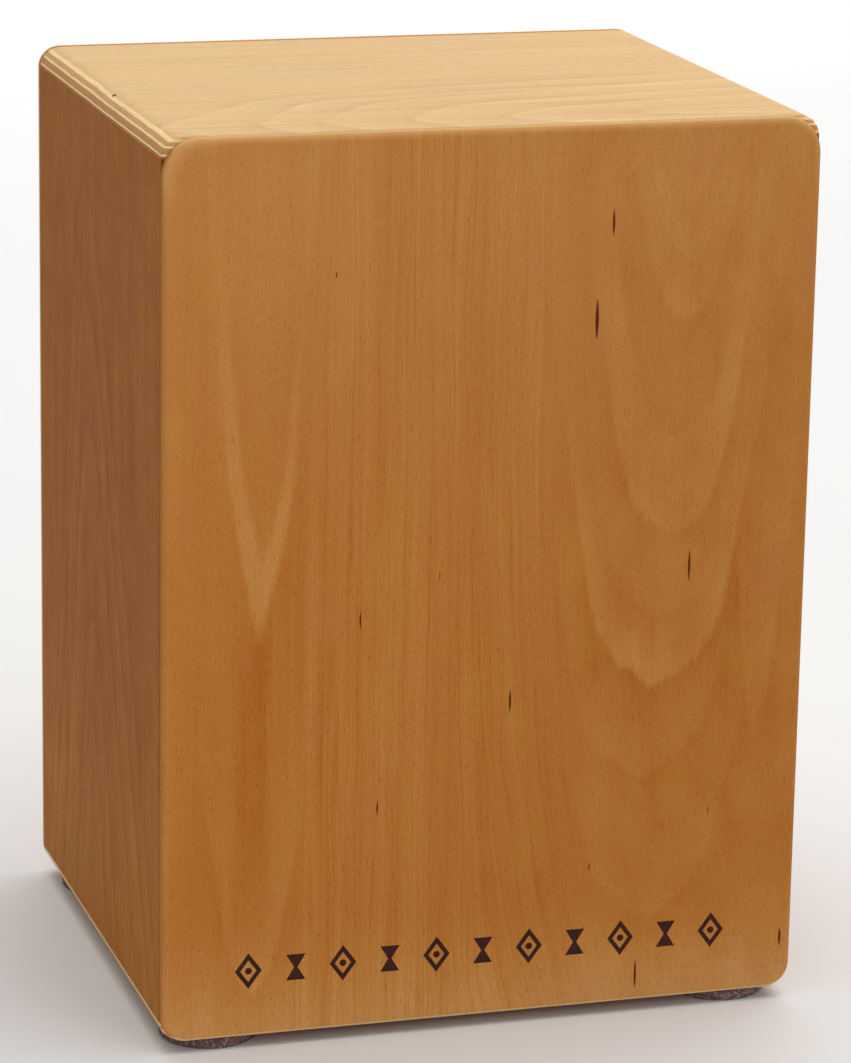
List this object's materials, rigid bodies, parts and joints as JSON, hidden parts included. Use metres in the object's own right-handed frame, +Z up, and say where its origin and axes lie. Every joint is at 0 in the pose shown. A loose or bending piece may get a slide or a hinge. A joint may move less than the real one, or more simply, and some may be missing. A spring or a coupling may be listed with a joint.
{
  "type": "cajon",
  "caption": "Children's-size box drum of beech plywood with a glued striking plate, round sound hole, felt feet and inner snares that a lever swings off the plate.",
  "frame": {"origin": "on the floor, under the middle of the box, midway between the striking plate's front face and the back plate's back face", "axes": "+Z up; the striking plate faces -Y and the sound hole faces +Y; +X is to the right for someone facing the striking plate"},
  "size_m": [0.3, 0.256, 0.4155],
  "materials": {
    "striking_veneer": "oiled honey-coloured beech veneer, satin",
    "carcass_plywood": "oiled beech-faced plywood, satin, plies bare on the rounded edges",
    "back_plywood": "oiled beech-faced plywood, satin",
    "beech": "plain sanded beech",
    "spruce": "planed spruce",
    "zinc_screws": "bright zinc plate",
    "steel_pin": "ground steel",
    "snare_steel": "nickel-plated spring steel",
    "felt": "dark mottled wool felt",
    "adhesive_foam": "dark double-sided adhesive film",
    "nylon": "black nylon"
  },
  "bodies": {
    "box": {"front_plate": "striking_veneer", "back_plate": "back_plywood", "top_panel": "carcass_plywood", "bottom_panel": "carcass_plywood", "left_side": "carcass_plywood", "right_side": "carcass_plywood", "top_dowels": "beech", "bottom_dowels": "beech", "batten_top_left": "spruce", "batten_top_right": "spruce", "batten_bottom_left": "spruce", "batten_bottom_right": "spruce", "back_plate_screws": "zinc_screws", "foot_adhesive_discs": "adhesive_foam", "felt_foot_front_left": "felt", "felt_foot_front_right": "felt", "felt_foot_back_left": "felt", "felt_foot_back_right": "felt", "pivot_block_left": "nylon", "pivot_block_right": "nylon", "pivot_block_screws": "zinc_screws", "friction_washers": "felt"},
    "snare_frame": {"snare_bar": "beech", "pivot_pin_left": "steel_pin", "pivot_pin_right": "steel_pin", "stop_pin": "steel_pin", "snare_lever": "beech", "lever_knob": "beech", "snare_plate_left": "snare_steel", "snare_plate_right": "snare_steel", "snare_plate_screws": "zinc_screws", "snare_coils_left": "snare_steel", "snare_coils_right": "snare_steel"}
  },
  "joints": [
    {"name": "snare_throw", "type": "hinge", "parent": "box", "child": "snare_frame", "pos_m": [0, -0.1096, 0.29], "axis": [-1, 0, 0], "range_deg": [0, 28]}
  ]
}
